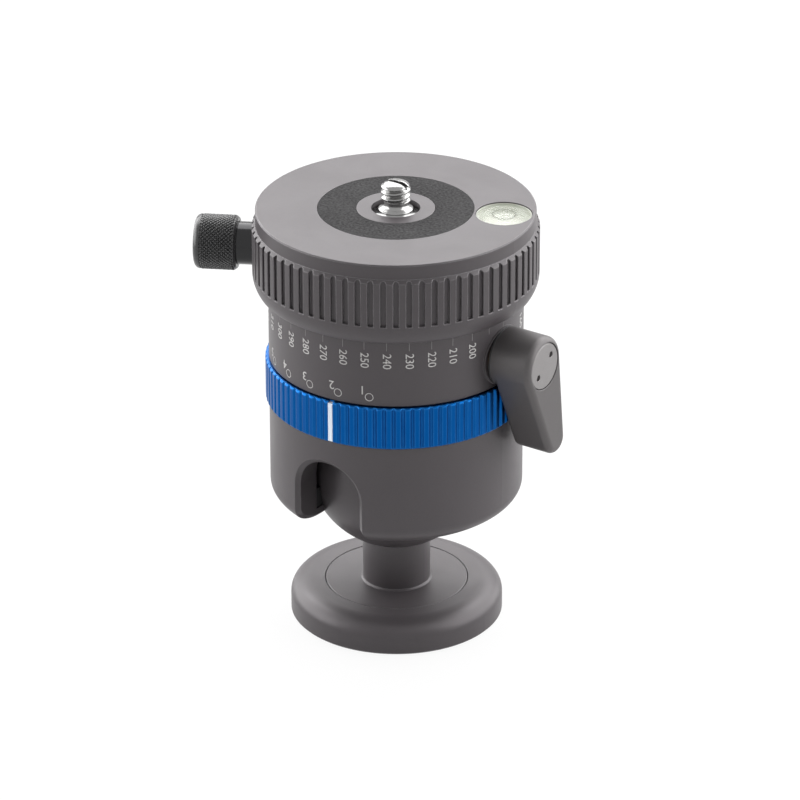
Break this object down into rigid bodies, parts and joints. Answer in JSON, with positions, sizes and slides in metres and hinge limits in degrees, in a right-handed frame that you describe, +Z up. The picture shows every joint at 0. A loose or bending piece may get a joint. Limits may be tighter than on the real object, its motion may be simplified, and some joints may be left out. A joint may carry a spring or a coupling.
{
  "type": "tripod ball head",
  "caption": "Inverted ball head: post and disc for a tripod, slotted housing with wing lock and friction ring, panning ribbed platform with a camera screw and a level.",
  "frame": {"origin": "centre of the threaded hole at the underside of the tripod disc", "axes": "+Z up along the post and the camera screw, -Y through the drop slot, +X along the lock lever's axis"},
  "size_m": [0.0793, 0.062, 0.1026],
  "materials": {
    "grey_anodised": "satin titanium grey anodising",
    "blue_anodised": "satin blue anodising",
    "light_anodised": "brushed light grey anodising",
    "lever_grey": "fine satin paint on cast aluminium",
    "black_knurl": "black anodised knurl",
    "dark_steel": "polished dark plating",
    "stainless": "turned and polished stainless steel",
    "screw_steel": "plain steel",
    "spring_steel": "spring steel",
    "bare_aluminium": "turned aluminium",
    "bronze": "turned bronze",
    "seat_plastic": "dark bearing plastic",
    "liner_plastic": "white bearing plastic",
    "pad_rubber": "dark textured rubber",
    "white_mark": "white line",
    "level_metal": "grey level cup",
    "vial_glass": "clear vial with pale green fluid"
  },
  "bodies": {
    "base": {"base_disc": "grey_anodised", "stem_post": "grey_anodised", "base_screws": "screw_steel"},
    "ball": {"ball": "grey_anodised"},
    "housing": {"housing_shell": "grey_anodised", "ball_seat_ring": "seat_plastic", "scale_collar": "grey_anodised", "clamp_block": "bare_aluminium", "cup_spring": "spring_steel", "spindle_bush": "bronze", "lever_washer": "seat_plastic", "pan_hub": "bare_aluminium", "hub_bolt": "screw_steel", "hub_dowels": "screw_steel", "pan_washer": "seat_plastic"},
    "friction_ring": {"friction_ring": "blue_anodised", "index_line": "white_mark", "drive_pins": "screw_steel", "preload_ring": "bronze"},
    "pressure_cup": {"pressure_cup": "bare_aluminium", "cup_liner": "liner_plastic"},
    "clamp_plunger": {"clamp_plunger": "screw_steel"},
    "lock_lever": {"lock_lever": "lever_grey", "lever_cap": "light_anodised", "clamp_spindle": "screw_steel"},
    "camera_platform": {"camera_platform": "grey_anodised", "platform_retainer": "bronze", "top_pad": "pad_rubber", "camera_screw": "stainless", "level_cup": "level_metal", "level_vial": "vial_glass"},
    "pan_brake": {"pan_brake_shoe": "bronze"},
    "pan_knob": {"pan_knob_shaft": "dark_steel", "pan_knob_grip": "black_knurl"}
  },
  "joints": [
    {"name": "ball_swivel", "type": "hinge", "parent": "base", "child": "ball", "pos_m": [0, 0, 0.0362], "axis": [0, 0, 1], "continuous": true},
    {"name": "ball_tilt", "type": "hinge", "parent": "ball", "child": "housing", "pos_m": [0, 0, 0.0362], "axis": [1, 0, 0], "range_deg": [-38, 90]},
    {"name": "friction_ring_turn", "type": "hinge", "parent": "housing", "child": "friction_ring", "pos_m": [0, 0, 0.0573], "axis": [0, 0, 1], "range_deg": [-41.5, 16.9]},
    {"name": "clamp_travel", "type": "slide", "parent": "housing", "child": "clamp_plunger", "axis": [1, 0, 0], "range_m": [0, 0.00026]},
    {"name": "lever_turn", "type": "hinge", "parent": "clamp_plunger", "child": "lock_lever", "pos_m": [0.0285, 0, 0.0689], "axis": [1, 0, 0], "range_deg": [0, 75]},
    {"name": "cup_lift", "type": "slide", "parent": "housing", "child": "pressure_cup", "axis": [0, 0, 1], "range_m": [0, 0.00016]},
    {"name": "platform_pan", "type": "hinge", "parent": "housing", "child": "camera_platform", "pos_m": [0, 0, 0.0782], "axis": [0, 0, 1], "continuous": true},
    {"name": "brake_travel", "type": "slide", "parent": "camera_platform", "child": "pan_brake", "axis": [-0.8878, -0.4602, 0], "range_m": [0, 0.0005999]},
    {"name": "knob_turn", "type": "hinge", "parent": "pan_brake", "child": "pan_knob", "pos_m": [-0.03036, -0.01574, 0.0865], "axis": [-0.8878, -0.4602, 0], "range_deg": [0, 270]}
  ],
  "couplings": [
    {"joint": "lever_turn", "follows": "clamp_travel", "rad_per_m": 5026.5},
    {"joint": "cup_lift", "follows": "clamp_travel", "ratio": 0.57735},
    {"joint": "knob_turn", "follows": "brake_travel", "rad_per_m": 7854}
  ]
}
